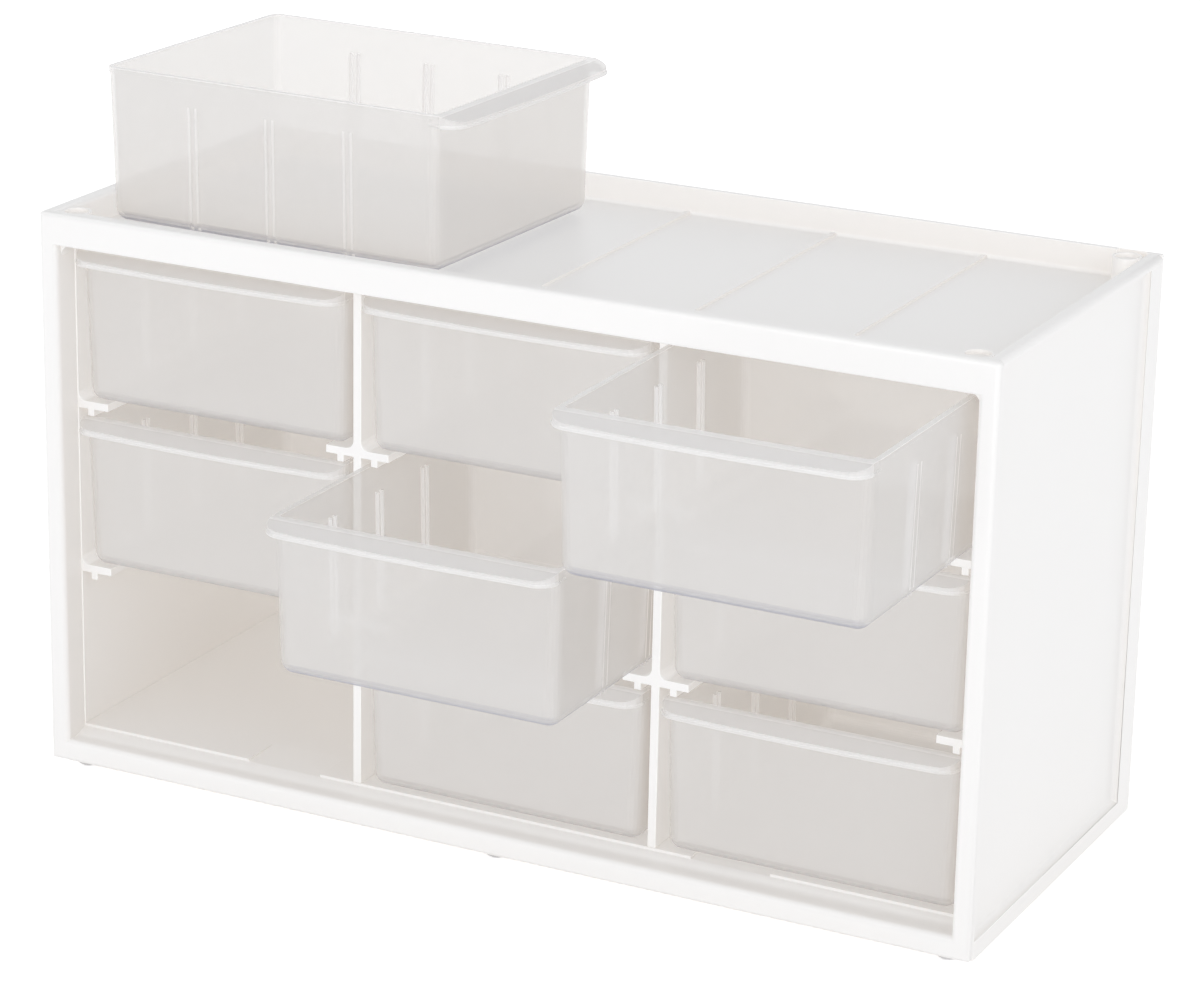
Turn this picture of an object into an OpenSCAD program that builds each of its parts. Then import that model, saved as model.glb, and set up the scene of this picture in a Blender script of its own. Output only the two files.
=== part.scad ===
// Stackable cabinet with nine pull-out drawers for craft supplies and small parts.
// Six drawers are shut, two are pulled out, and the one from the lower left cell
// stands on the top tray, turned a quarter turn.
// x runs across the front, y from front to back, z up. The origin lies on the
// standing surface under the middle of the cabinet.

/* [Cabinet] */
// Width over the front frame
case_w = 365; // [320:1:420]
// Depth from the face of the front frame to the rear of the back panel
case_d = 153.3; // [130:0.1:190]
// Height from the underside to the top of the rims, without the feet
case_h = 208.2; // [180:0.1:260]
// Thickness of the front frame's face
frame_t = 3; // [2:0.1:3]
// Rounding of the inner edges of the front frame's uprights
stile_edge_r = 2.3; // [0.5:0.1:2.5]
// Distance from the frame's face back to the liners, dividers and floor
threshold_d = 11.3; // [9:0.1:14]
// Height of the top tray's rims above the tray floor
tray_depth = 10; // [6:0.1:14]
// Thickness of the top tray's floor
tray_t = 1.9; // [1.5:0.1:3]
// Thickness of the back panel
back_t = 3; // [2:0.1:5]
// Thickness of the floor plate
floor_t = 3; // [2:0.1:4]
// Height of the floor above the underside
floor_h = 11.4; // [10:0.1:16]
// Rounding of the cabinet's outer edges
edge_r = 2; // [0.5:0.1:2.5]

/* [Side panels] */
// Thickness of a side panel's sheet
sheet_t = 2.5; // [1.5:0.1:3.5]
// Depth of the recess in a side panel
recess_d = 2.5; // [1:0.1:3]
// Height of the raised border along the bottom of a side panel
border_h = 6.9; // [4:0.1:12]
// Width of the raised border along the rear of a side panel
border_w = 10.5; // [5:0.1:20]
// Thickness of a liner, which carries the outer ledges
liner_t = 2.8; // [1.5:0.1:3.5]

/* [Ledges and dividers] */
// Thickness of a divider
divider_t = 3.2; // [2.4:0.1:5]
// Reach of a divider's ledge
ledge_reach = 11; // [9:0.1:14]
// Extra reach of a liner's ledge
liner_extra = 1.5; // [0:0.1:3]
// Thickness of a ledge
ledge_t = 2.9; // [2:0.1:4]
// Fillet between a ledge and its wall
ledge_r = 3; // [1:0.1:4]
// Depth of the ribs that hold the drawers' rims down
keeper_h = 2.5; // [1.5:0.1:4]
// Width of those ribs
keeper_w = 2.6; // [1.5:0.1:3]
// Distance of those ribs from their wall
keeper_in = 3.9; // [3:0.1:5]

/* [Drawers] */
// Gap between a drawer's rim and the walls of its cell
side_gap = 2.2; // [2:0.1:4]
// Gap between a drawer's rim and the ribs over it
rim_gap = 0.4; // [0.3:0.1:1.5]
// Running gap under a drawer
run_gap = 0.3; // [0.2:0.1:0.6]
// Distance of a shut drawer's rim behind the frame's face
front_set = 10.8; // [10.5:0.1:13]
// Gap between a shut drawer and the back panel
rear_gap = 1; // [0.5:0.1:6]
// Wall thickness of a drawer
drawer_t = 1.5; // [1:0.1:2.5]
// Inward lean of a drawer's long sides, from rim to bottom
side_lean = 1; // [0.3:0.1:2]
// Inward lean of a drawer's front and back, from rim to bottom
end_lean = 0.5; // [0.2:0.1:1.5]
// Rounding of a drawer's bottom edge
drawer_low_r = 5; // [3:0.1:8]
// Rounding of a drawer's upright corners at the rim
drawer_rim_r = 4; // [3:0.1:7]
// Height of the thickened band along a drawer's rim
band_h = 1.8; // [1:0.1:3]
// How far that band stands out from the wall
band_out = 0.3; // [0.2:0.1:0.6]
// Width of the pairs of ribs that hold a cross divider
slot_rib_w = 0.9; // [0.6:0.1:1.5]
// How far those ribs stand in from the wall
slot_rib_in = 1.3; // [0.8:0.1:2]
// Slot between the two ribs of a pair
slot_w = 2.1; // [1.5:0.1:4]
// Distance of those ribs below the rim
slot_drop = 10.5; // [6:0.5:20]
// Cross divider positions along a drawer
slot_count = 3; // [1:1:3]
// Distance from one such position to the next
slot_pitch = 32.2; // [20:0.1:42]

/* [Finger lip] */
// How far the hooded lip reaches forward of the rim
lip_reach = 8.6; // [7:0.1:9.5]
// How far the lip's lower edge hangs below the rim
lip_drop = 4.4; // [4.2:0.1:7]
// Fall of the lip's top towards its front
lip_fall = 2.5; // [0.5:0.1:2.6]
// Thickness of the lip
lip_t = 1.2; // [0.9:0.1:1.4]
// Rounding of the lip's ends, seen from above
lip_end_r = 7; // [4:0.1:7.5]
// Bow of the lip's front edge over its width
lip_bow = 1.5; // [0.3:0.1:2]
// Thickness of the bead along the lip's lower edge
bead_h = 1.2; // [0.8:0.1:1.5]

/* [Stacking] */
// Distance of the feet and cups from the front and rear faces
stack_in = 8.3; // [8.2:0.1:9]
// Distance of the feet and cups from the sides
stack_side = 11; // [10.5:0.1:12]
// Radius of a foot
foot_r = 4; // [3:0.1:4.4]
// Height of a foot
foot_h = 3.2; // [2.5:0.1:5]
// Radius of the stem that a foot plugs in with
stem_r = 2; // [1.5:0.1:2.5]
// Length of that stem
stem_l = 4.5; // [3:0.1:5]
// Outer radius of a stacking cup
cup_r = 5.2; // [5:0.1:5.2]
// Clearance between a stacked foot and its cup
cup_gap = 0.4; // [0.2:0.1:0.6]
// Depth of a cup's recess
cup_depth = 1.5; // [1:0.1:2.5]

/* [As shown] */
// How far the drawer in the middle is pulled out
pull_middle = 61.3; // [0:0.1:110]
// How far the top right drawer is pulled out
pull_top_right = 81.8; // [0:0.1:110]
// How far the pulled-out drawers stand to the right in their cells
pulled_shift = -1.5; // [-1.5:0.1:1.5]
// Centre of the lifted-out drawer, to the left of the cabinet's middle
tray_drawer_left = 102; // [90:0.1:102]
// Centre of that drawer, behind the frame's face
tray_drawer_back = 82; // [72:0.1:83]
// Turn of that drawer, anticlockwise seen from above
tray_drawer_turn = -2; // [-2:0.1:2]

/* [Hidden] */

// The grid of cells.
columns = 3;
rows = 3;

// Heights above the underside, and half widths from the middle.
tray_floor = case_h - tray_depth;
ceiling = tray_floor - tray_t;
sheet_x = case_w / 2 - recess_d - sheet_t;   // inner face of a side panel
liner_x = sheet_x - liner_t;                 // inner face of a liner
liner_step = 0.4;                            // the liners stand this much proud of the uprights
stile_x = liner_x + liner_step;              // inner face of an upright
back_y = case_d - back_t;                    // front face of the back panel
cell_w = (2 * liner_x - (columns - 1) * divider_t) / columns;
cell_h = (ceiling - floor_h - (rows - 1) * ledge_t) / rows;
cell_l = back_y - threshold_d;

// Front frame.
rail_over = 0.1;                             // the top rail's underside stands this much above the ceiling
sill_lip = 1;                                // step up from the sill to the floor
sill_h = 8.2;                                // height of the sill behind its rounded edge
sill_r = 2.4;                                // rounding of that edge
sill_under = 6.5;                            // underside of the sill, over the floor's front beam
rail_edge_r = 0.8;                           // rounding of the top rail's lower front edge
opening_r = 4.5;                             // rounding of the opening's upper corners, behind the face
dimple_w = 4.8;                              // shallow moulding dimples in the upper corners
dimple_depth = 0.16;
dimple_in = 9.1;                             // their distance from the side
dimple_low = 5.5;                            // and below the rims

// Top tray.
rim_w = 6.1;                                 // width of the side rims
rim_cap_h = 3;                               // height of a rim's cap over the side panel
front_rim_t = 2.8;                           // thickness of the tray's own front rim
front_rim_low = 0.3;                         // how far that rim stays below the frame's top
tray_ribs = 5;
tray_rib_in = 65.9;                          // distance of the outer ribs from the sides
tray_rib_w = 2;
tray_rib_h = 1;
foot_cove_r = 1.5;                           // cove along the foot of the back panel
cup_low = 0.5;                               // how far a stacking cup's top stays below the rims
dish_r = 20;                                 // hollow in a cup's bottom
pocket_in = stack_side + cup_r + 0.5;        // inner end of the pockets at the rear cups, from the side
pocket_depth = 1.7;

// Floor.
ramp_w = 30;                                 // two ramps that lead from the sill up to the floor
ramp_l = 18;
ramp_in = 89;                                // their centre lines from the middle
beam_d = 11.3;                               // depth of the beams that the feet plug into

// Feet.
foot_side_h = 1.8;                           // upright part of a foot's side
foot_dome_r = 6.4;
foot_flat_h = 0.1;                           // slice off the dome, which leaves a small flat tip
stem_gap = 0.05;                             // clearance round a stem
stem_over = 0.5;                             // clearance over a stem

// Drawers.
drawer_w = cell_w - 2 * side_gap;            // over the rim
drawer_h = cell_h - keeper_h - rim_gap - run_gap;
drawer_l = back_y - rear_gap - front_set;    // along the rim
lip_w = drawer_w - 2 * band_out;             // the lip is flush with the drawer's sides
lip_back = band_out + drawer_rim_r;          // and starts where its front corners begin
bead_out = 0.4;
bow_steps = 12;                              // straight steps along the lip's front edge
end_steps = 6;                               // and round each of its ends
rim_slice = 0.2;                             // upright stretch at the top of a drawer's walls
rib_root = 0.2;                              // how far the slot ribs' feet are sunk in the bottom
smooth = 24;                                 // facets round a drawer's corners
eps = 0.01;

// Colours.
shell_white = [0.95, 0.95, 0.96];
frost = [0.86, 0.88, 0.92, 0.75];
foot_grey = [0.62, 0.63, 0.65];

function column_x(c) = (c - (columns + 1) / 2) * (cell_w + divider_t);
function ledge_z(r) = floor_h + (rows - r) * (cell_h + ledge_t);

// Puts what is drawn from the frame's face and the underside into the part's own frame.
module in_cabinet() {
    translate([0, -case_d / 2, foot_h]) children();
}

// Draws its children on the right and mirrored on the left.
module both_sides() {
    children();
    mirror([1, 0, 0]) children();
}

// Extrudes a profile drawn as (y, z) along x, centred on the middle.
module along_x(length) {
    rotate([90, 0, 90]) translate([0, 0, -length / 2]) linear_extrude(length) children();
}

// Extrudes a profile drawn as (x, z) along y, from y0 to y1.
module along_y(y0, y1) {
    translate([0, y1, 0]) rotate([90, 0, 0]) linear_extrude(y1 - y0) children();
}

// Rectangle with four round corners, from its lower left corner.
module round_rect(w, h, r) {
    translate([r, 0]) square([w - 2 * r, h]);
    translate([0, r]) square([w, h - 2 * r]);
    for (x = [r, w - r], y = [r, h - r]) translate([x, y]) circle(r, $fn = 32);
}

// Concave quarter round that fills the corner at the origin, towards +x and +y.
module cove(r) {
    difference() {
        square(r);
        translate([r, r]) circle(r, $fn = 48);
    }
}

// ---- Front frame ----

// The outer form of the whole cabinet's front, with its edges rounded on all sides.
module frame_envelope() {
    intersection() {
        linear_extrude(case_h) translate([-case_w / 2, 0]) round_rect(case_w, case_d, edge_r);
        along_y(0, threshold_d) translate([-case_w / 2, 0]) round_rect(case_w, case_h, edge_r);
        along_x(case_w) round_rect(case_d, case_h, edge_r);
    }
}

// Plan of the right upright: the face, and a return that runs back to the liner.
module stile_plan(with_return) {
    flat_x = stile_x + stile_edge_r;
    difference() {
        union() {
            translate([flat_x, 0]) square([case_w / 2 - flat_x, frame_t]);
            translate([flat_x, stile_edge_r]) circle(stile_edge_r, $fn = 48);
            if (with_return)
                translate([stile_x, stile_edge_r]) square([sheet_x - stile_x, threshold_d - stile_edge_r]);
        }
        translate([with_return ? sheet_x : 0, frame_t]) square([case_w, threshold_d]);
    }
}

// Section of the sill: upright face, rounded edge, and a long cove that rises to the floor.
module sill_section() {
    rise = floor_h - sill_lip - sill_h;
    run = threshold_d - sill_r;
    cove_r = (run * run + rise * rise) / (2 * rise);
    difference() {
        union() {
            square([frame_t, sill_h - sill_r]);
            translate([sill_r, sill_h - sill_r]) circle(sill_r, $fn = 48);
            translate([sill_r, sill_under]) square([run, sill_h + rise - sill_under]);
        }
        translate([sill_r, sill_h + cove_r]) circle(cove_r, $fn = 360);
        translate([frame_t, -1]) square([threshold_d, sill_under + 1]);
    }
}

// Section of the top rail, with its lower front edge rounded.
module top_rail_section() {
    low = ceiling + rail_over;
    translate([0, low + rail_edge_r]) square([frame_t, case_h - low - rail_edge_r]);
    translate([rail_edge_r, low]) square([frame_t - rail_edge_r, rail_edge_r]);
    translate([rail_edge_r, low + rail_edge_r]) circle(rail_edge_r, $fn = 24);
}

module front_frame() {
    dimple_r = (dimple_w * dimple_w / 4 + dimple_depth * dimple_depth) / (2 * dimple_depth);
    color(shell_white) in_cabinet() difference() {
        intersection() {
            frame_envelope();
            union() {
                both_sides() {
                    linear_extrude(case_h) stile_plan(false);
                    translate([0, 0, sill_under]) linear_extrude(ceiling - sill_under) stile_plan(true);
                    along_y(frame_t, threshold_d) translate([stile_x, ceiling]) rotate(180) cove(opening_r);
                }
                along_x(2 * sheet_x) sill_section();
                along_x(case_w) top_rail_section();
            }
        }
        both_sides() translate([case_w / 2 - dimple_in, dimple_depth - dimple_r, case_h - dimple_low])
            sphere(dimple_r, $fn = 96);
    }
}

// ---- Top tray ----

// Section of the right rim: a cap that laps over the side panel's sheet.
module rim_section() {
    difference() {
        translate([case_w / 2 - rim_w, tray_floor - eps])
            round_rect(rim_w, tray_depth + eps, min(edge_r, rim_w / 3));
        translate([sheet_x, tray_floor - 1]) square([case_w, tray_depth - rim_cap_h + 1]);
    }
    translate([case_w / 2 - rim_w, ceiling]) square([sheet_x - case_w / 2 + rim_w, tray_t + edge_r]);
}

// Ring that a stacked cabinet's foot stands in, with a dished bottom.
module stacking_cup() {
    top = case_h - cup_low;
    seat_r = foot_r + cup_gap;
    difference() {
        translate([0, 0, ceiling]) cylinder(h = top - ceiling, r = cup_r, $fn = 48);
        translate([0, 0, top - cup_depth]) cylinder(h = cup_depth + 1, r = seat_r, $fn = 48);
        translate([0, 0, top - cup_depth + sqrt(dish_r * dish_r - seat_r * seat_r)]) intersection() {
            sphere(dish_r, $fn = 120);
            translate([0, 0, -dish_r]) cylinder(h = 2, r = seat_r, $fn = 48);
        }
    }
}

module top_tray() {
    rib_x = case_w / 2 - tray_rib_in;
    rib_pitch = 2 * rib_x / (tray_ribs - 1);
    color(shell_white) in_cabinet() {
        difference() {
            union() {
                translate([-sheet_x, frame_t, ceiling]) cube([2 * sheet_x, back_y - frame_t, tray_t]);
                both_sides() along_y(frame_t, back_y) rim_section();
                translate([-sheet_x, frame_t, tray_floor - eps])
                    cube([2 * sheet_x, front_rim_t, tray_depth - front_rim_low + eps]);
                for (i = [0:tray_ribs - 1])
                    translate([-rib_x + i * rib_pitch - tray_rib_w / 2, frame_t, tray_floor - eps])
                        cube([tray_rib_w, back_y - frame_t, tray_rib_h + eps]);
                along_x(case_w - 2 * pocket_in) translate([back_y, tray_floor]) mirror([1, 0])
                    cove(foot_cove_r);
                for (c = [1:columns], side = [-1, 1])
                    translate([column_x(c) + side * (cell_w / 2 - keeper_in - keeper_w / 2) - keeper_w / 2,
                               threshold_d, ceiling - keeper_h])
                        cube([keeper_w, cell_l, keeper_h + eps]);
            }
            both_sides() for (y = [stack_in, case_d - stack_in])
                translate([case_w / 2 - stack_side, y, tray_floor])
                    cylinder(h = case_h, r = cup_r - eps, $fn = 48);
        }
        both_sides() for (y = [stack_in, case_d - stack_in])
            translate([case_w / 2 - stack_side, y, 0]) stacking_cup();
    }
}

// ---- Floor, sides and back ----

module base_panel() {
    color(shell_white) in_cabinet() difference() {
        along_x(2 * sheet_x) polygon([
            [frame_t, 0], [frame_t + beam_d, 0], [frame_t + beam_d, floor_h - floor_t],
            [back_y - beam_d, floor_h - floor_t], [back_y - beam_d, 0], [back_y, 0], [back_y, floor_h],
            [threshold_d, floor_h], [threshold_d, sill_under], [frame_t, sill_under]]);
        both_sides() translate([ramp_in, 0, 0]) along_x(ramp_w) polygon([
            [threshold_d - 1, floor_h - sill_lip], [threshold_d, floor_h - sill_lip],
            [threshold_d + ramp_l, floor_h], [threshold_d + ramp_l, floor_h + 1],
            [threshold_d - 1, floor_h + 1]]);
        for (x = [-1, 0, 1], y = [stack_in, case_d - stack_in])
            translate([x * (case_w / 2 - stack_side), y, -1])
                cylinder(h = stem_l + stem_over + 1, r = stem_r + stem_gap, $fn = 32);
    }
}

// Right side panel: a plain sheet with a raised border along its bottom and rear edges.
module side_panel() {
    top = case_h - rim_cap_h;
    outer = case_w / 2;
    translate([sheet_x, frame_t, 0]) cube([sheet_t, back_y - frame_t, top]);
    along_y(frame_t, back_y) {
        translate([outer - recess_d - eps, 0]) square([recess_d + eps, border_h]);
        translate([outer - recess_d, border_h]) cove(recess_d);
    }
    linear_extrude(top) {
        translate([outer - recess_d - eps, back_y - border_w]) square([recess_d + eps, border_w]);
        translate([outer - recess_d, back_y - border_w]) mirror([0, 1]) cove(recess_d);
    }
}

module side_panel_right() {
    color(shell_white) in_cabinet() side_panel();
}

module side_panel_left() {
    color(shell_white) in_cabinet() mirror([1, 0, 0]) side_panel();
}

module back_panel() {
    color(shell_white) in_cabinet() difference() {
        intersection() {
            linear_extrude(case_h) translate([-case_w / 2, 0]) round_rect(case_w, case_d, edge_r);
            translate([-case_w / 2, back_y, 0]) cube([case_w, back_t, case_h]);
            along_x(case_w) round_rect(case_d, case_h, edge_r / 2);
        }
        both_sides() translate([case_w / 2 - pocket_in, back_y - 1, tray_floor])
            cube([pocket_in - rim_w, pocket_depth + 1, tray_depth + 1]);
    }
}

// ---- Dividers and liners ----

// Section of a ledge that grows towards +x from a wall at x = 0, with its top at z = 0.
module ledge_section(reach) {
    translate([-eps, -ledge_t]) square([reach + eps, ledge_t]);
    cove(ledge_r);
    translate([keeper_in, -ledge_t - keeper_h]) square([keeper_w, keeper_h + eps]);
}

module divider(x) {
    color(shell_white) in_cabinet() translate([x, 0, 0]) {
        translate([-divider_t / 2, threshold_d, floor_h]) cube([divider_t, cell_l, ceiling - floor_h]);
        both_sides() for (r = [1:rows - 1])
            translate([divider_t / 2, 0, ledge_z(r)]) along_y(threshold_d, back_y) ledge_section(ledge_reach);
    }
}

module divider_left() { divider((column_x(1) + column_x(2)) / 2); }
module divider_right() { divider((column_x(2) + column_x(3)) / 2); }

module liner() {
    translate([-sheet_x, threshold_d, floor_h]) cube([liner_t, cell_l, ceiling - floor_h]);
    for (r = [1:rows - 1])
        translate([-liner_x, 0, ledge_z(r)]) along_y(threshold_d, back_y)
            ledge_section(ledge_reach + liner_extra);
}

module liner_left() {
    color(shell_white) in_cabinet() liner();
}

module liner_right() {
    color(shell_white) in_cabinet() mirror([1, 0, 0]) liner();
}

// ---- Feet ----

// Domed foot with a small flat tip, and the stem that plugs into the floor's beam.
module foot(x, y) {
    color(foot_grey) in_cabinet() translate([x, y, 0]) {
        translate([0, 0, -foot_side_h]) cylinder(h = foot_side_h, r = foot_r, $fn = 48);
        intersection() {
            translate([0, 0, -foot_h]) cylinder(h = foot_h - foot_side_h + eps, r = foot_r, $fn = 48);
            translate([0, 0, foot_dome_r - foot_h - foot_flat_h]) sphere(foot_dome_r, $fn = 96);
        }
        translate([0, 0, -eps]) cylinder(h = stem_l + eps, r = stem_r, $fn = 32);
    }
}

foot_x = case_w / 2 - stack_side;
foot_rear = case_d - stack_in;
module foot_front_left() { foot(-foot_x, stack_in); }
module foot_front_middle() { foot(0, stack_in); }
module foot_front_right() { foot(foot_x, stack_in); }
module foot_rear_left() { foot(-foot_x, foot_rear); }
module foot_rear_middle() { foot(0, foot_rear); }
module foot_rear_right() { foot(foot_x, foot_rear); }

// ---- Drawers ----
// A drawer is drawn with the front of its rim at y = 0 and its underside at z = 0.

// Tub that flares towards its rim: the outside of a drawer, or its inside when inset by the wall.
module tub(inset, over) {
    low_x = drawer_w / 2 - band_out - side_lean - drawer_low_r;
    low_y = band_out + end_lean + drawer_low_r;
    rim_x = drawer_w / 2 - band_out - drawer_rim_r;
    rim_y = band_out + drawer_rim_r;
    hull() for (side = [-1, 1]) {
        for (y = [low_y, drawer_l - low_y])
            translate([side * low_x, y, drawer_low_r]) sphere(drawer_low_r - inset, $fn = smooth);
        for (y = [rim_y, drawer_l - rim_y])
            translate([side * rim_x, y, drawer_h - rim_slice])
                cylinder(h = rim_slice + over, r = drawer_rim_r - inset, $fn = smooth);
    }
}

// Plan of the lip: a gently bowed front edge, round ends. Grown, it gives the bead, and shrunk, the inside.
function lip_plan(grow) =
    let (half = lip_w / 2 + grow,
         end_r = lip_end_r + grow,
         flat = half - end_r,
         bow_r = (lip_w * lip_w / 4 + lip_bow * lip_bow) / (2 * lip_bow),
         bow = [for (i = [0:bow_steps]) let (x = flat * (2 * i / bow_steps - 1))
                [x, bow_r - sqrt(bow_r * bow_r - x * x) - lip_reach - grow]],
         end_y = bow[0].y + end_r)
    concat([[-half, lip_back]],
           [for (i = [0:end_steps - 1]) let (a = 180 + 90 * i / end_steps)
                [-flat + end_r * cos(a), end_y + end_r * sin(a)]],
           bow,
           [for (i = [1:end_steps]) let (a = 270 + 90 * i / end_steps)
                [flat + end_r * cos(a), end_y + end_r * sin(a)]],
           [[half, lip_back]]);

// Side view of the lip as (y, z) with z = 0 at the rim: its top falls away towards the front.
module lip_side(inset) {
    far = lip_reach + 1;
    polygon([[lip_back, -inset], [0, -inset], [-far, -lip_fall * far / lip_reach - inset],
             [-far, -lip_drop - 1], [lip_back, -lip_drop - 1]]);
}

// Hooded finger lip, open underneath, with a bead along its lower edge.
module finger_lip() {
    difference() {
        union() {
            intersection() {
                translate([0, 0, -lip_drop]) linear_extrude(lip_drop) polygon(lip_plan(0));
                along_x(lip_w + 1) lip_side(0);
            }
            translate([0, 0, -lip_drop + bead_h / 4]) linear_extrude(bead_h / 2) polygon(lip_plan(bead_out));
            translate([0, 0, -lip_drop]) linear_extrude(bead_h) polygon(lip_plan(bead_out / 2));
        }
        intersection() {
            translate([-lip_w, -lip_w, -lip_drop - 1]) cube([2 * lip_w, lip_w + band_out, lip_drop + 1]);
            translate([0, 0, -lip_drop - 1]) linear_extrude(lip_drop + 1) polygon(lip_plan(-lip_t));
            along_x(lip_w) lip_side(lip_t);
        }
    }
}

// Ribs in pairs on both long sides, leaning with the wall, that a cross divider slides down between.
module slot_ribs() {
    lean = atan2(side_lean, drawer_h - drawer_low_r);
    rib_h = drawer_h - slot_drop - drawer_t;
    wall_x = drawer_w / 2 - band_out - side_lean - drawer_t;
    first_y = drawer_l / 2 - (slot_count - 1) / 2 * slot_pitch;
    both_sides() for (i = [0:slot_count - 1], pair = [-1, 1])
        translate([wall_x, first_y + i * slot_pitch + pair * (slot_w + slot_rib_w) / 2, drawer_low_r])
            rotate([0, lean, 0])
                translate([-slot_rib_in, -slot_rib_w / 2, drawer_t - drawer_low_r - rib_root])
                    cube([slot_rib_in + drawer_t / 2, slot_rib_w, rib_h]);
}

// The rim: a thickened band all round, and the lip in front of it.
module rim() {
    wall = band_out + drawer_t;
    difference() {
        union() {
            translate([-drawer_w / 2, 0, drawer_h - band_h]) linear_extrude(band_h)
                round_rect(drawer_w, drawer_l, drawer_rim_r + band_out);
            translate([0, 0, drawer_h]) finger_lip();
        }
        translate([-drawer_w / 2 + wall, wall, drawer_h - lip_drop - 1]) linear_extrude(lip_drop + 2)
            round_rect(drawer_w - 2 * wall, drawer_l - 2 * wall, drawer_rim_r - drawer_t);
    }
}

module drawer() {
    color(frost) {
        difference() {
            tub(0, 0);
            tub(drawer_t, 1);
        }
        slot_ribs();
        rim();
    }
}

// A drawer in the cell at column c and row r, counted from the top left. A pulled-out one stands to one side.
module drawer_in(c, r, pull) {
    shift = pull > 0 ? pulled_shift : 0;
    in_cabinet() translate([column_x(c) + shift, front_set - pull, ledge_z(r) + run_gap]) drawer();
}

module drawer_top_left() { drawer_in(1, 1, 0); }
module drawer_top_middle() { drawer_in(2, 1, 0); }
module drawer_top_right() { drawer_in(3, 1, pull_top_right); }
module drawer_middle_left() { drawer_in(1, 2, 0); }
module drawer_middle() { drawer_in(2, 2, pull_middle); }
module drawer_middle_right() { drawer_in(3, 2, 0); }
module drawer_bottom_middle() { drawer_in(2, 3, 0); }
module drawer_bottom_right() { drawer_in(3, 3, 0); }

// The drawer from the empty cell, on the tray's ribs with its lip to the right.
module drawer_on_tray() {
    in_cabinet() translate([-tray_drawer_left, tray_drawer_back, tray_floor + tray_rib_h])
        rotate(90 + tray_drawer_turn) translate([0, -drawer_l / 2, 0]) drawer();
}

front_frame();
top_tray();
base_panel();
side_panel_left();
side_panel_right();
back_panel();
divider_left();
divider_right();
liner_left();
liner_right();
foot_front_left();
foot_front_middle();
foot_front_right();
foot_rear_left();
foot_rear_middle();
foot_rear_right();
drawer_top_left();
drawer_top_middle();
drawer_top_right();
drawer_middle_left();
drawer_middle();
drawer_middle_right();
drawer_bottom_middle();
drawer_bottom_right();
drawer_on_tray();
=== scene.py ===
"""Dresses a stackable tabletop cabinet with nine translucent drawers, on a pale studio floor.

Lengths are in metres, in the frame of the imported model: x runs across the front, y from the
front to the back, z up, and the origin lies on the floor under the middle of the cabinet.
"""

import logging
import math
from dataclasses import dataclass, field, replace
from enum import Enum

import bpy
from mathutils import Matrix, Vector


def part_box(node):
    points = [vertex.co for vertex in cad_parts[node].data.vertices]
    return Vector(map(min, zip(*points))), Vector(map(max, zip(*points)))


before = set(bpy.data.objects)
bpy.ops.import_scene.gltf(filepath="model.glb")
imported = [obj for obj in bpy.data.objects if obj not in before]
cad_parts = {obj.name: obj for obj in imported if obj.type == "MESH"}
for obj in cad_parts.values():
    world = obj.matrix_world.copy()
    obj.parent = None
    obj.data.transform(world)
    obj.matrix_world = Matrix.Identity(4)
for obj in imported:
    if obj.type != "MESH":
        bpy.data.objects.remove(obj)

LOG = logging.getLogger("cabinet")

Colour = tuple[float, float, float]
Place = tuple[float, float, float]
Node = bpy.types.Node
Material = bpy.types.Material


class Slot(Enum):
    """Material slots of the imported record."""

    CABINET = "cabinet_white"
    FOOT = "foot_grey"
    DRAWER = "drawer_frosted"


class Pull(Enum):
    """How a drawer is left standing."""

    SHUT = "shut"
    DRAWN = "drawn out"
    LIFTED = "lifted out"


# ---------------------------------------------------------------------------
# Shader building blocks
# ---------------------------------------------------------------------------


class Graph:
    """Thin wrapper round a node tree that adds and links nodes by plain names."""

    def __init__(self, tree: bpy.types.NodeTree) -> None:
        """Keeps the tree that the other methods add to.

        Args:
            tree: The node tree to build in.
        """
        self.tree = tree

    def add(self, kind: str, label: str = "", **values: object) -> Node:
        """Adds a node and sets its properties and sockets.

        Args:
            kind: Blender's type name of the node, without the ShaderNode prefix.
            label: Label shown on the node.
            **values: Properties of the node, or socket values with spaces as underscores.

        Returns:
            The new node.
        """
        full = kind if kind.startswith("Node") else "ShaderNode" + kind
        node = self.tree.nodes.new(full)
        node.label = label
        for name, value in values.items():
            if hasattr(node, name):
                setattr(node, name, value)
            else:
                node.inputs[name.replace("_", " ")].default_value = value
        return node

    def link(self, source: bpy.types.NodeSocket, target: bpy.types.NodeSocket) -> None:
        """Links one socket to another."""
        self.tree.links.new(source, target)

    def maths(self, operation: str, first: object, second: object = 0.0) -> bpy.types.NodeSocket:
        """Adds a Math node whose inputs are sockets or numbers.

        Args:
            operation: Name of the operation, such as MULTIPLY.
            first: A socket or a number.
            second: A socket or a number, left out where the operation has one input.

        Returns:
            The node's output socket.
        """
        node = self.add("Math", operation=operation)
        for socket, value in zip(node.inputs, (first, second)):
            if isinstance(value, (int, float)):
                socket.default_value = value
            else:
                self.link(value, socket)
        return node.outputs[0]


def new_group(
    name: str, inputs: dict[str, float], outputs: dict[str, str]
) -> tuple[Graph, Node, Node]:
    """Makes an empty shader node group with named sockets.

    Args:
        name: Name of the group.
        inputs: Input names with their default values.
        outputs: Output names with their socket types.

    Returns:
        The group's graph, its input node and its output node.
    """
    tree = bpy.data.node_groups.new(name, "ShaderNodeTree")
    for socket_name, default in inputs.items():
        socket = tree.interface.new_socket(socket_name, in_out="INPUT", socket_type="NodeSocketFloat")
        socket.default_value = default
    for socket_name, kind in outputs.items():
        tree.interface.new_socket(socket_name, in_out="OUTPUT", socket_type=kind)
    graph = Graph(tree)
    return graph, graph.add("NodeGroupInput"), graph.add("NodeGroupOutput")


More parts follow.
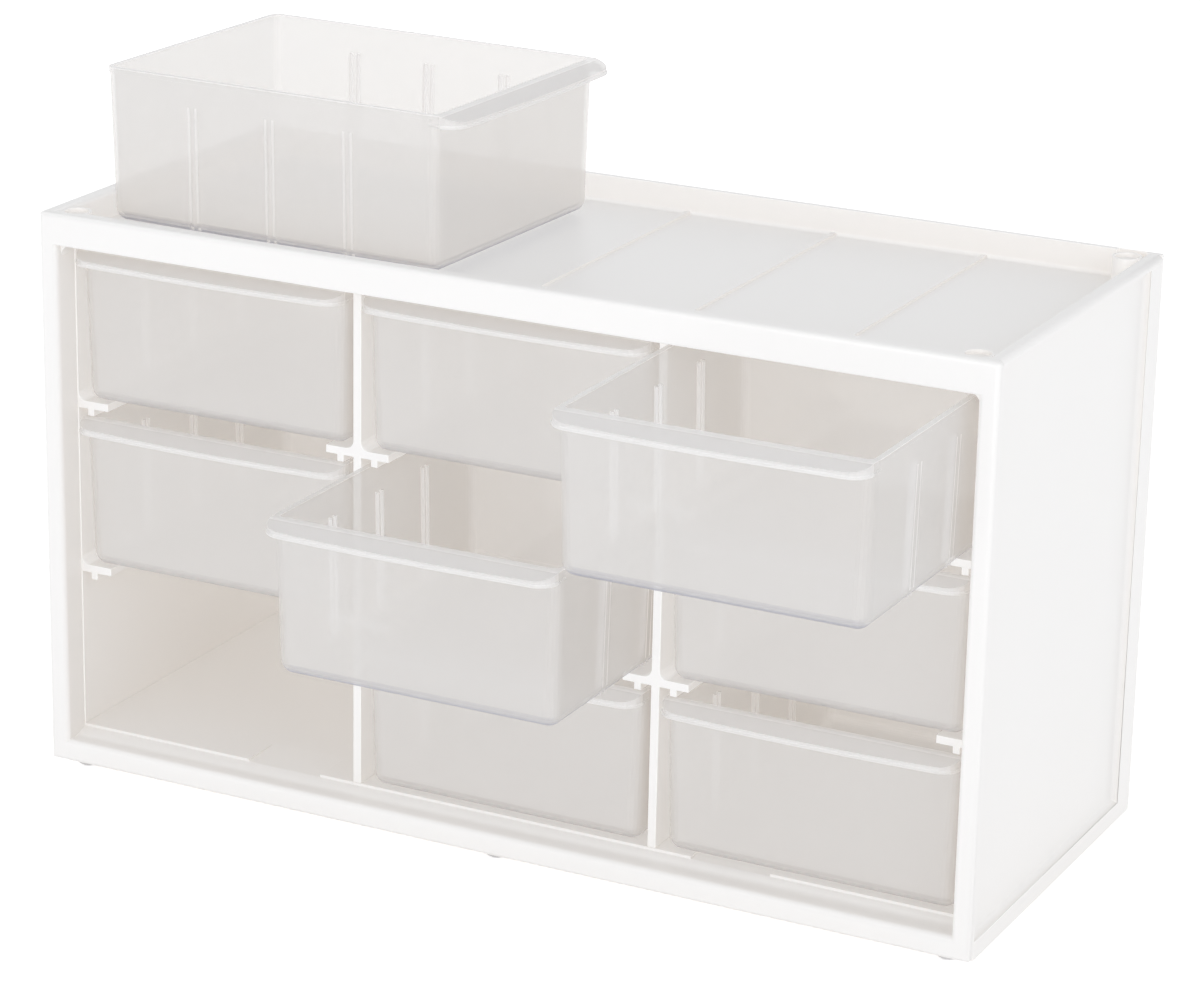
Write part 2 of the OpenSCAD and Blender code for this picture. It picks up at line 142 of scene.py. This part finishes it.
class SurfaceEffects:
    """The node groups that every plastic of the cabinet shares, each built once."""

    def __init__(self) -> None:
        """Builds the groups."""
        self.grain = self._moulded_grain()
        self.flow = self._flow_tone()
        self.handling = self._handling_marks()
        self.painted_lower_edge_shade = self._lower_edge()
        self.painted_highlight_lines = self._bright_lines()

    @staticmethod
    def _moulded_grain() -> bpy.types.NodeTree:
        """Fine sparked texture of the mould, with a slow waviness of the wall.

        Returns:
            The group, with a Height output for a Bump node.
        """
        graph, given, result = new_group(
            "MouldedGrain",
            {"Grain Scale": 900.0, "Grain Depth": 0.3, "Wave Scale": 14.0, "Wave Depth": 0.5},
            {"Height": "NodeSocketFloat"},
        )
        place = graph.add("TexCoord")
        fine = graph.add("TexNoise", "sparked grain", Detail=2.0, Roughness=0.6)
        slow = graph.add("TexNoise", "slow waviness", Detail=1.0, Roughness=0.4)
        for noise, scale in ((fine, "Grain Scale"), (slow, "Wave Scale")):
            graph.link(place.outputs["Object"], noise.inputs["Vector"])
            graph.link(given.outputs[scale], noise.inputs["Scale"])
        height = graph.maths(
            "ADD",
            graph.maths("MULTIPLY", fine.outputs["Fac"], given.outputs["Grain Depth"]),
            graph.maths("MULTIPLY", slow.outputs["Fac"], given.outputs["Wave Depth"]),
        )
        graph.link(height, result.inputs["Height"])
        return graph.tree

    @staticmethod
    def _flow_tone() -> bpy.types.NodeTree:
        """Cloudy change of tone where the melt flowed through the mould.

        Returns:
            The group, with a Tone output from 0 to 1.
        """
        graph, given, result = new_group(
            "FlowTone", {"Cloud Scale": 9.0, "Stretch": 3.0, "Contrast": 1.0}, {"Tone": "NodeSocketFloat"}
        )
        place = graph.add("TexCoord")
        stretch = graph.add("Mapping", "drawn out along z")
        scale = graph.add("CombineXYZ", X=1.0, Y=1.0)
        graph.link(graph.maths("DIVIDE", 1.0, given.outputs["Stretch"]), scale.inputs["Z"])
        graph.link(scale.outputs[0], stretch.inputs["Scale"])
        graph.link(place.outputs["Object"], stretch.inputs["Vector"])
        cloud = graph.add("TexNoise", "melt clouds", Detail=3.0, Roughness=0.5, Distortion=0.6)
        graph.link(stretch.outputs["Vector"], cloud.inputs["Vector"])
        graph.link(given.outputs["Cloud Scale"], cloud.inputs["Scale"])
        centred = graph.maths("SUBTRACT", cloud.outputs["Fac"], 0.5)
        tone = graph.maths("ADD", graph.maths("MULTIPLY", centred, given.outputs["Contrast"]), 0.5)
        graph.link(tone, result.inputs["Tone"])
        return graph.tree

    @staticmethod
    def _handling_marks() -> bpy.types.NodeTree:
        """Faint rubbed patches that change how sharp the gloss is.

        Returns:
            The group, with a Roughness output.
        """
        graph, given, result = new_group(
            "HandlingMarks",
            {"Roughness": 0.4, "Spread": 0.1, "Patch Scale": 22.0},
            {"Roughness": "NodeSocketFloat"},
        )
        place = graph.add("TexCoord")
        patch = graph.add("TexNoise", "rubbed patches", Detail=4.0, Roughness=0.65)
        graph.link(place.outputs["Object"], patch.inputs["Vector"])
        graph.link(given.outputs["Patch Scale"], patch.inputs["Scale"])
        centred = graph.maths("SUBTRACT", patch.outputs["Fac"], 0.5)
        spread = graph.maths("MULTIPLY", centred, given.outputs["Spread"])
        graph.link(graph.maths("ADD", given.outputs["Roughness"], spread), result.inputs["Roughness"])
        return graph.tree

    @staticmethod
    def _lower_edge() -> bpy.types.NodeTree:
        """Mask of the painted shade on the rounded edge under a drawer, where the clear wall is seen along
        its thickness.

        The surface normal finds it: it points steeply down, but not as straight down as the flat
        bottom's does.

        Returns:
            The group, with a Mask output from 0 to 1.
        """
        graph, given, result = new_group(
            "PaintedLowerEdgeShade", {"From": 0.35, "To": 0.65, "Flat From": 0.985}, {"Mask": "NodeSocketFloat"}
        )
        surface = graph.add("NewGeometry")
        parts = graph.add("SeparateXYZ", "normal")
        graph.link(surface.outputs["Normal"], parts.inputs[0])
        down = graph.maths("MULTIPLY", parts.outputs["Z"], -1.0)
        steep = graph.add("MapRange", "points down", interpolation_type="SMOOTHSTEP")
        graph.link(down, steep.inputs["Value"])
        graph.link(given.outputs["From"], steep.inputs["From Min"])
        graph.link(given.outputs["To"], steep.inputs["From Max"])
        rounded = graph.maths("LESS_THAN", down, given.outputs["Flat From"])
        graph.link(graph.maths("MULTIPLY", steep.outputs["Result"], rounded), result.inputs["Mask"])
        return graph.tree

    @staticmethod
    def _bright_lines() -> bpy.types.NodeTree:
        """Mask of the painted highlight lines on a drawer's slot ribs, rim and lip bead, where the plastic
        gathers light.

        X runs across the drawer, Y along it from its middle, Z up from its underside, in metres.

        Returns:
            The group, with a Mask output from 0 to 1.
        """
        cut = DrawerCut()
        graph, given, result = new_group(
            "PaintedHighlightLines",
            {"X": 0.0, "Y": 0.0, "Z": 0.0, "Rib Share": 0.38, "Rim Share": 0.5, "Lip Share": 0.25},
            {"Mask": "NodeSocketFloat"},
        )
        along, up = given.outputs["Y"], given.outputs["Z"]
        aside = graph.maths("ABSOLUTE", given.outputs["X"])
        nearest = graph.maths("ROUND", graph.maths("DIVIDE", along, cut.slot_pitch))
        slot = graph.maths("MULTIPLY", nearest, cut.slot_pitch)
        off_slot = graph.maths("ABSOLUTE", graph.maths("SUBTRACT", along, slot))
        rib = graph.add("Math", "rib beside a slot", operation="COMPARE")
        graph.link(off_slot, rib.inputs[0])
        rib.inputs[1].default_value = cut.rib_off_slot
        rib.inputs[2].default_value = cut.rib_width / 2
        ribs = rib.outputs[0]
        for test in (
            graph.maths("GREATER_THAN", aside, cut.rib_inner),
            graph.maths("LESS_THAN", graph.maths("ABSOLUTE", along), cut.slots_within),
            graph.maths("LESS_THAN", up, cut.rib_top),
            graph.maths("GREATER_THAN", up, cut.floor),
        ):
            ribs = graph.maths("MULTIPLY", ribs, test)
        ribs = graph.maths("MULTIPLY", ribs, given.outputs["Rib Share"])
        rim = graph.maths("GREATER_THAN", up, cut.rim_from)
        high = graph.maths("GREATER_THAN", up, cut.rib_top)
        lip = graph.maths("MULTIPLY", high, graph.maths("LESS_THAN", along, cut.lip_from))
        bead = graph.maths(
            "MULTIPLY",
            graph.maths("LESS_THAN", along, cut.bead_front),
            graph.maths("MULTIPLY", high, graph.maths("LESS_THAN", up, cut.bead_top)),
        )
        line = graph.maths("MULTIPLY", graph.maths("MAXIMUM", rim, bead), given.outputs["Rim Share"])
        hood = graph.maths("MULTIPLY", lip, given.outputs["Lip Share"])
        strongest = graph.maths("MAXIMUM", graph.maths("MAXIMUM", line, hood), ribs)
        graph.link(strongest, result.inputs["Mask"])
        return graph.tree


@dataclass(frozen=True)
class DrawerCut:
    """Sizes of a drawer that its finish follows, in metres."""

    length: float = 0.1385
    lip_reach: float = 0.0086
    slot_pitch: float = 0.0322
    slots_within: float = 0.04186
    rib_off_slot: float = 0.0015
    rib_width: float = 0.0009
    rib_inner: float = 0.0505
    rib_top: float = 0.046
    floor: float = 0.004
    rim_from: float = 0.0561
    bead_top: float = 0.0533
    bead_front: float = -0.0699
    lip_from: float = -0.0694


@dataclass(frozen=True)
class DrawerFrame:
    """How a finish finds a place on a drawer: from its box, or from its stand on the tray."""

    coordinates: str
    kind: str
    location: Place
    turn: float
    scale: Place

    @classmethod
    def from_box(cls, node: str) -> "DrawerFrame":
        """For a drawer in line with the cabinet, from its box.

        Args:
            node: Name of one such drawer.

        Returns:
            The frame, which serves all of them.
        """
        cut = DrawerCut()
        low, high = (Vector(corner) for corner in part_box(node))
        size = high - low
        middle = (-size.x / 2, -cut.lip_reach - cut.length / 2, 0.0)
        return cls("Generated", "POINT", middle, 0.0, tuple(size))

    @classmethod
    def standing(cls, node: str, middle: Place, turn: float) -> "DrawerFrame":
        """For a drawer that stands turned.

        Args:
            node: Name of the drawer.
            middle: Where the middle of its length lies, with any height.
            turn: Its turn about the upright, in radians.

        Returns:
            The frame.
        """
        low = Vector(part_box(node)[0])
        return cls("Object", "TEXTURE", (middle[0], middle[1], low.z), turn, (1.0, 1.0, 1.0))

    def place(self, graph: Graph) -> Node:
        """Adds the nodes that give the place on the drawer.

        Args:
            graph: The material's graph.

        Returns:
            The node whose outputs X, Y and Z hold it.
        """
        source = graph.add("TexCoord")
        moved = graph.add("Mapping", "place on the drawer", vector_type=self.kind)
        moved.inputs["Location"].default_value = self.location
        moved.inputs["Rotation"].default_value = (0.0, 0.0, self.turn)
        moved.inputs["Scale"].default_value = self.scale
        graph.link(source.outputs[self.coordinates], moved.inputs["Vector"])
        parts = graph.add("SeparateXYZ")
        graph.link(moved.outputs["Vector"], parts.inputs[0])
        return parts


@dataclass(frozen=True)
class MouldedPlastic:
    """A moulded plastic: its colours, with any painted shade and painted highlight on a drawer's edges,
    its gloss, and how much light goes into it.
    """

    name: str
    light_tone: Colour
    deep_tone: Colour
    roughness: float
    rubbed: float = 0.08
    grain_scale: float = 900.0
    grain_depth: float = 0.25
    wave_depth: float = 0.4
    bump_distance: float = 0.00004
    ior: float = 1.5
    specular: float = 0.5
    opacity: float = 1.0
    # painted shade: dark bluish tone on a drawer's lower rounded edge, and how strongly it is mixed in
    painted_edge_shade_tone: Colour = (0.36, 0.37, 0.47)
    painted_edge_shade_share: float = 0.8
    rib_share: float = 0.38
    rim_share: float = 0.5
    light_through: float = 0.0
    through_tint: Colour = (1.0, 1.0, 1.0)
    # painted highlight: bright tone of a drawer's rib, rim and bead lines, and how little they let through
    painted_highlight_tone: Colour = (0.97, 0.97, 0.98)
    line_opacity: float = 0.95
    drawer: DrawerFrame | None = None

    def material(self, effects: SurfaceEffects) -> Material:
        """Builds the plastic's material.

        Args:
            effects: The shared node groups.

        Returns:
            The material, with a Principled shader.
        """
        made = bpy.data.materials.new(self.name)
        made.use_nodes = True
        graph = Graph(made.node_tree)
        graph.tree.nodes.clear()
        shader = graph.add("BsdfPrincipled", IOR=self.ior)
        shader.inputs["Specular IOR Level"].default_value = self.specular
        shader.inputs["Alpha"].default_value = self.opacity

        tone = graph.add("Group", "melt tone", node_tree=effects.flow)
        mix = graph.add("Mix", "tone of the plastic", data_type="RGBA")
        mix.inputs["A"].default_value = (*self.light_tone, 1.0)
        mix.inputs["B"].default_value = (*self.deep_tone, 1.0)
        graph.link(tone.outputs["Tone"], mix.inputs["Factor"])
        colour = mix.outputs["Result"]
        if self.drawer:
            colour = self._with_lines(graph, effects, colour, shader)
        graph.link(colour, shader.inputs["Base Color"])

        marks = graph.add("Group", "handling", node_tree=effects.handling)
        marks.inputs["Roughness"].default_value = self.roughness
        marks.inputs["Spread"].default_value = self.rubbed
        graph.link(marks.outputs["Roughness"], shader.inputs["Roughness"])

        grain = graph.add("Group", "mould texture", node_tree=effects.grain)
        grain.inputs["Grain Scale"].default_value = self.grain_scale
        grain.inputs["Grain Depth"].default_value = self.grain_depth
        grain.inputs["Wave Depth"].default_value = self.wave_depth
        bump = graph.add("Bump", Strength=1.0, Distance=self.bump_distance)
        graph.link(grain.outputs["Height"], bump.inputs["Height"])
        graph.link(bump.outputs["Normal"], shader.inputs["Normal"])

        output = graph.add("OutputMaterial")
        graph.link(self._let_light_through(graph, shader), output.inputs["Surface"])
        return made

    def _with_lines(
        self, graph: Graph, effects: SurfaceEffects, colour: bpy.types.NodeSocket, shader: Node
    ) -> bpy.types.NodeSocket:
        """Mixes in a drawer's painted shade along its lower edge and painted highlight lines on its ribs,
        rim and bead, which are less clear.

        Args:
            graph: The material's graph.
            effects: The shared node groups.
            colour: The plastic's colour elsewhere.
            shader: The plastic's shader, whose Alpha follows the lines.

        Returns:
            The colour socket with the lines in it.
        """
        edge = graph.add("Group", "lower edge", node_tree=effects.painted_lower_edge_shade)
        lines = graph.add("Group", "bright lines", node_tree=effects.painted_highlight_lines)
        lines.inputs["Rib Share"].default_value = self.rib_share
        lines.inputs["Rim Share"].default_value = self.rim_share
        place = self.drawer.place(graph)
        for axis in "XYZ":
            graph.link(place.outputs[axis], lines.inputs[axis])
        # painted shade along the lower edge, then painted highlight lines, both making the clear wall less
        # clear
        shade = graph.maths("MULTIPLY", edge.outputs["Mask"], self.painted_edge_shade_share)
        for label, tone, mask in (
            ("painted shade of the edge", self.painted_edge_shade_tone, shade),
            ("painted highlight of the lines", self.painted_highlight_tone, lines.outputs["Mask"]),
        ):
            mix = graph.add("Mix", label, data_type="RGBA")
            mix.inputs["B"].default_value = (*tone, 1.0)
            graph.link(mask, mix.inputs["Factor"])
            graph.link(colour, mix.inputs["A"])
            colour = mix.outputs["Result"]
        either = graph.maths("MAXIMUM", shade, lines.outputs["Mask"])
        closed = graph.maths("MULTIPLY", either, self.line_opacity - self.opacity)
        graph.link(graph.maths("ADD", closed, self.opacity), shader.inputs["Alpha"])
        return colour

    def _let_light_through(self, graph: Graph, shader: Node) -> bpy.types.NodeSocket:
        """Lets some light pass the walls, as thin moulded plastic does, though the eye sees them closed.

        Args:
            graph: The material's graph.
            shader: The plastic's own shader.

        Returns:
            The shader socket for the surface.
        """
        if not self.light_through:
            return shader.outputs["BSDF"]
        path = graph.add("LightPath")
        light = graph.maths("MAXIMUM", path.outputs["Is Diffuse Ray"], path.outputs["Is Shadow Ray"])
        passed = graph.add("BsdfTransparent", "light through the wall", Color=(*self.through_tint, 1.0))
        mix = graph.add("MixShader")
        graph.link(graph.maths("MULTIPLY", light, self.light_through), mix.inputs["Fac"])
        graph.link(shader.outputs["BSDF"], mix.inputs[1])
        graph.link(passed.outputs["BSDF"], mix.inputs[2])
        return mix.outputs["Shader"]


WHITE = MouldedPlastic(
    name="white_moulded_plastic",
    light_tone=(0.95, 0.945, 0.945),
    deep_tone=(0.93, 0.925, 0.925),
    roughness=0.36,
    light_through=0.78,
    through_tint=(1.0, 0.98, 0.955),
)
FROSTED = MouldedPlastic(
    name="frosted_translucent_plastic",
    light_tone=(0.767, 0.751, 0.743),
    deep_tone=(0.737, 0.721, 0.714),
    roughness=0.33,
    grain_depth=0.2,
    wave_depth=0.8,
    opacity=0.46,
    light_through=0.97,
    drawer=DrawerFrame.from_box("drawer_middle"),
)
# The same plastic with weaker painted edge shade and painted highlight lines, for the drawers left shut.
FROSTED_SHUT = replace(
    FROSTED,
    name="frosted_plastic_of_the_shut_drawers",
    painted_edge_shade_share=0.35,
    rib_share=0.22,
    rim_share=0.45,
)
FROSTED_LIFTED = replace(
    FROSTED,
    name="frosted_plastic_of_the_lifted_drawer",
    drawer=DrawerFrame.standing("drawer_on_tray", (-0.102, 0.00535, 0.0), math.radians(88)),
)
# Painted highlight: a brighter, less clear copy of the frosted plastic for the drawers' eased edges.
FROSTED_EDGE_HIGHLIGHT = MouldedPlastic(
    name="frosted_plastic_painted_edge_highlight",
    light_tone=(0.99, 0.99, 1.0),
    deep_tone=(0.95, 0.95, 0.965),
    roughness=0.28,
    grain_depth=0.1,
    wave_depth=0.3,
    opacity=0.85,
    light_through=0.97,
)
# Painted highlight: a brighter copy of the white plastic for the case's eased edges.
WHITE_EDGE_HIGHLIGHT = replace(
    WHITE,
    name="white_plastic_painted_edge_highlight",
    light_tone=(1.0, 1.0, 1.0),
    deep_tone=(0.98, 0.98, 0.98),
    roughness=0.3,
    grain_depth=0.1,
    wave_depth=0.2,
)
FOOT_GREY = MouldedPlastic(
    name="grey_foot_plastic",
    light_tone=(0.72, 0.72, 0.73),
    deep_tone=(0.64, 0.64, 0.66),
    roughness=0.6,
    grain_depth=0.6,
)
PLASTICS = (WHITE, WHITE_EDGE_HIGHLIGHT, FROSTED, FROSTED_SHUT, FROSTED_LIFTED, FROSTED_EDGE_HIGHLIGHT, FOOT_GREY)


# ---------------------------------------------------------------------------
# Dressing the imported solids
# ---------------------------------------------------------------------------


@dataclass(frozen=True)
class SoftEdge:
    """How a solid's sharp edges are eased, as a mould eases them."""

    width: float = 0.0003
    segments: int = 2
    sharp_from: float = math.radians(40)
    flat_within: float = math.radians(0.5)

    def apply(self, obj: bpy.types.Object) -> None:
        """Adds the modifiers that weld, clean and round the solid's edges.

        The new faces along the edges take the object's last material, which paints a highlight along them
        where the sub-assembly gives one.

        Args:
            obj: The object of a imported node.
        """
        weld = obj.modifiers.new("weld_seams", "WELD")
        weld.merge_threshold = 0.000002
        clean = obj.modifiers.new("merge_flats", "DECIMATE")
        clean.decimate_type = "DISSOLVE"
        clean.angle_limit = self.flat_within
        ease = obj.modifiers.new("ease_edges", "BEVEL")
        ease.width = self.width
        ease.segments = self.segments
        ease.limit_method = "ANGLE"
        ease.angle_limit = self.sharp_from
        ease.use_clamp_overlap = True
        ease.harden_normals = True
        ease.material = len(obj.data.materials) - 1


@dataclass
class SubAssembly:
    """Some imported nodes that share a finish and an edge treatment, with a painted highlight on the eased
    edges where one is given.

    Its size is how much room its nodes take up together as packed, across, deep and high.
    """

    title: str
    nodes: list[str]
    finish: MouldedPlastic
    slot: Slot
    size: Place
    edge: SoftEdge = field(default_factory=SoftEdge)
    # material of the eased edges, which paints a highlight along them
    edge_highlight_finish: MouldedPlastic | None = None

    def finish_of(self, node: str) -> MouldedPlastic:
        """The finish of one node, the same for all unless a sub-assembly says otherwise."""
        return self.finish

    def report_size(self) -> None:
        """Reports the room that the nodes take up, beside the size that the class gives."""
        boxes = [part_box(name) for name in self.nodes]
        packed = [max(high[i] for _, high in boxes) - min(low[i] for low, _ in boxes) for i in range(3)]
        LOG.info("%s: packed %s m, given %s m", self.title, [round(side, 4) for side in packed], self.size)

    def dress(self, finishes: dict[str, Material]) -> None:
        """Gives each node its material and its eased edges, and reports it.

        Args:
            finishes: The built materials by the name of their plastic.
        """
        self.report_size()
        for name in self.nodes:
            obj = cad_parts[name]
            obj.data.materials.clear()
            obj.data.materials.append(finishes[self.finish_of(name).name])
            if self.edge_highlight_finish:
                obj.data.materials.append(finishes[self.edge_highlight_finish.name])
            self.edge.apply(obj)
            LOG.info("%s: %s in %s", self.title, name, self.finish_of(name).name)


@dataclass
class Case(SubAssembly):
    """The white moulded cabinet without its drawers and feet."""

    title: str = "case"
    nodes: list[str] = field(
        default_factory=lambda: [
            "front_frame", "top_tray", "base_panel", "side_panel_left", "side_panel_right",
            "back_panel", "divider_left", "divider_right", "liner_left", "liner_right",
        ]
    )
    finish: MouldedPlastic = WHITE
    edge_highlight_finish: MouldedPlastic | None = WHITE_EDGE_HIGHLIGHT
    slot: Slot = Slot.CABINET
    size: Place = (0.365, 0.1533, 0.2082)


@dataclass
class Feet(SubAssembly):
    """The six domed feet."""

    title: str = "feet"
    nodes: list[str] = field(
        default_factory=lambda: [
            f"foot_{row}_{place}" for row in ("front", "rear") for place in ("left", "middle", "right")
        ]
    )
    finish: MouldedPlastic = FOOT_GREY
    slot: Slot = Slot.FOOT
    size: Place = (0.351, 0.1447, 0.0077)


@dataclass
class Drawers(SubAssembly):
    """The nine alike drawers."""

    title: str = "drawers"
    standing: dict[str, Pull] = field(
        default_factory=lambda: {
            "drawer_top_left": Pull.SHUT,
            "drawer_top_middle": Pull.SHUT,
            "drawer_top_right": Pull.DRAWN,
            "drawer_middle_left": Pull.SHUT,
            "drawer_middle": Pull.DRAWN,
            "drawer_middle_right": Pull.SHUT,
            "drawer_bottom_middle": Pull.SHUT,
            "drawer_bottom_right": Pull.SHUT,
            "drawer_on_tray": Pull.LIFTED,
        }
    )
    nodes: list[str] = field(default_factory=list)
    finish: MouldedPlastic = FROSTED
    edge_highlight_finish: MouldedPlastic | None = FROSTED_EDGE_HIGHLIGHT
    slot: Slot = Slot.DRAWER
    size: Place = (0.3456, 0.2293, 0.244)

    def __post_init__(self) -> None:
        """Lists the drawers' nodes."""
        self.nodes = list(self.standing)

    def finish_of(self, node: str) -> MouldedPlastic:
        """The drawer's finish by how it stands; the tone is the same, and the painted edge shade and
        painted highlight lines differ.
        """
        by_pull = {Pull.SHUT: FROSTED_SHUT, Pull.DRAWN: self.finish, Pull.LIFTED: FROSTED_LIFTED}
        return by_pull[self.standing[node]]

    def dress(self, finishes: dict[str, Material]) -> None:
        """Dresses the drawers and reports how each one stands.

        Args:
            finishes: The built materials by the name of their plastic.
        """
        super().dress(finishes)
        for name, pull in self.standing.items():
            LOG.info("%s is %s", name, pull.value)


# ---------------------------------------------------------------------------
# Studio
# ---------------------------------------------------------------------------


@dataclass(frozen=True)
class PhotoCamera:
    """The camera at the photograph's viewing angle."""

    azimuth: float = math.radians(26.706)
    elevation: float = math.radians(18.544)
    roll: float = math.radians(1.153)
    distance: float = 1.377842
    target: Place = (0.041903, -0.07665, 0.144508)
    lens_mm: float = 123.394
    sensor_mm: float = 36.0
    clip: tuple[float, float] = (0.05, 30.0)

    def build(self) -> bpy.types.Object:
        """Makes the camera and sets it as the scene's.

        Returns:
            The camera object.
        """
        level = math.cos(self.elevation)
        forward = Vector(
            (-math.sin(self.azimuth) * level, math.cos(self.azimuth) * level, -math.sin(self.elevation))
        )
        right = forward.cross(Vector((0.0, 0.0, 1.0))).normalized()
        up = right.cross(forward)
        turn_right = right * math.cos(self.roll) + up * math.sin(self.roll)
        turn_up = up * math.cos(self.roll) - right * math.sin(self.roll)
        data = bpy.data.cameras.new("photo_camera")
        data.lens = self.lens_mm
        data.sensor_width = self.sensor_mm
        data.sensor_fit = "HORIZONTAL"
        data.clip_start, data.clip_end = self.clip
        camera = bpy.data.objects.new("photo_camera", data)
        place = Matrix((turn_right, turn_up, -forward)).transposed().to_4x4()
        place.translation = Vector(self.target) - forward * self.distance
        camera.matrix_world = place
        bpy.context.scene.collection.objects.link(camera)
        bpy.context.scene.camera = camera
        return camera


@dataclass(frozen=True)
class SoftBox:
    """One large soft lamp, aimed at the middle of the cabinet."""

    name: str
    place: Place
    size: float
    power: float
    aim: Place = (0.0, 0.0, 0.12)

    def build(self) -> None:
        """Makes the lamp."""
        data = bpy.data.lights.new(self.name, "AREA")
        data.shape = "DISK"
        data.size = self.size
        data.energy = self.power
        lamp = bpy.data.objects.new(self.name, data)
        lamp.location = self.place
        lamp.rotation_euler = (Vector(self.aim) - Vector(self.place)).to_track_quat("-Z", "Y").to_euler()
        bpy.context.scene.collection.objects.link(lamp)


@dataclass(frozen=True)
class Studio:
    """White surroundings, a pale floor that keeps the shadow, and soft lamps."""

    level_light: float = 1.2
    overhead_light: float = 0.5
    floor_half: float = 6.0
    floor_colour: Colour = (0.90, 0.90, 0.90)
    floor_glow: float = 0.62
    walls_to_pass: int = 32
    lamps: tuple[SoftBox, ...] = (
        SoftBox("front_softbox", (0.2, -2.6, 0.62), 1.15, 11.0),
        SoftBox("right_softbox", (2.2, -1.0, 1.2), 1.6, 6.0),
    )

    @staticmethod
    def _seen(graph: Graph) -> bpy.types.NodeSocket:
        """Mask that is 1 for camera, glossy and transmission rays.

        Args:
            graph: The node graph to add it to.

        Returns:
            The mask's socket.
        """
        path = graph.add("LightPath")
        either = graph.maths("MAXIMUM", path.outputs["Is Camera Ray"], path.outputs["Is Glossy Ray"])
        return graph.maths("MAXIMUM", either, path.outputs["Is Transmission Ray"])

    def _world(self) -> None:
        """White to the eye and in reflections, softer as a light."""
        world = bpy.data.worlds.new("white_studio")
        world.use_nodes = True
        graph = Graph(world.node_tree)
        graph.tree.nodes.clear()
        sky = graph.add("Background")
        sky.inputs["Color"].default_value = (1.0, 1.0, 1.0, 1.0)
        heading = graph.add("TexCoord")
        height = graph.add("SeparateXYZ")
        graph.link(heading.outputs["Generated"], height.inputs[0])
        room = graph.add("MapRange", "walls to ceiling")
        graph.link(height.outputs["Z"], room.inputs["Value"])
        room.inputs["To Min"].default_value = self.level_light
        room.inputs["To Max"].default_value = self.overhead_light
        reach = graph.add("MapRange", "room to white")
        graph.link(self._seen(graph), reach.inputs["Value"])
        graph.link(room.outputs["Result"], reach.inputs["To Min"])
        graph.link(reach.outputs["Result"], sky.inputs["Strength"])
        output = graph.add("OutputWorld")
        graph.link(sky.outputs["Background"], output.inputs["Surface"])
        bpy.context.scene.world = world

    def _floor(self) -> None:
        """Pale floor that glows a little to the eye, so that it stays white beside the shadow."""
        half = self.floor_half
        mesh = bpy.data.meshes.new("studio_floor")
        corners = [(-half, -half, 0), (half, -half, 0), (half, half, 0), (-half, half, 0)]
        mesh.from_pydata(corners, [], [(0, 1, 2, 3)])
        floor = bpy.data.objects.new("studio_floor", mesh)
        bpy.context.scene.collection.objects.link(floor)
        made = bpy.data.materials.new("pale_floor")
        made.use_nodes = True
        graph = Graph(made.node_tree)
        graph.tree.nodes.clear()
        paper = graph.add("BsdfDiffuse", Color=(*self.floor_colour, 1.0))
        glow = graph.add("Emission")
        reach = graph.add("MapRange", "glow for the eye only")
        graph.link(self._seen(graph), reach.inputs["Value"])
        reach.inputs["To Max"].default_value = self.floor_glow
        graph.link(reach.outputs["Result"], glow.inputs["Strength"])
        both = graph.add("AddShader")
        graph.link(paper.outputs["BSDF"], both.inputs[0])
        graph.link(glow.outputs["Emission"], both.inputs[1])
        output = graph.add("OutputMaterial")
        graph.link(both.outputs["Shader"], output.inputs["Surface"])
        mesh.materials.append(made)

    def build(self) -> None:
        """Makes the world, the floor and the lamps."""
        self._world()
        self._floor()
        for lamp in self.lamps:
            lamp.build()
        bpy.context.scene.view_settings.view_transform = "Standard"
        bpy.context.scene.cycles.transparent_max_bounces = self.walls_to_pass


def main() -> None:
    """Builds the scene in order: camera, studio, finishes, then each sub-assembly."""
    logging.basicConfig(level=logging.INFO, format="%(message)s")
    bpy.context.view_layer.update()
    PhotoCamera().build()
    Studio().build()
    effects = SurfaceEffects()
    finishes = {plastic.name: plastic.material(effects) for plastic in PLASTICS}
    for assembly in (Case(), Feet(), Drawers()):
        assembly.dress(finishes)


if __name__ == "__main__":
    main()
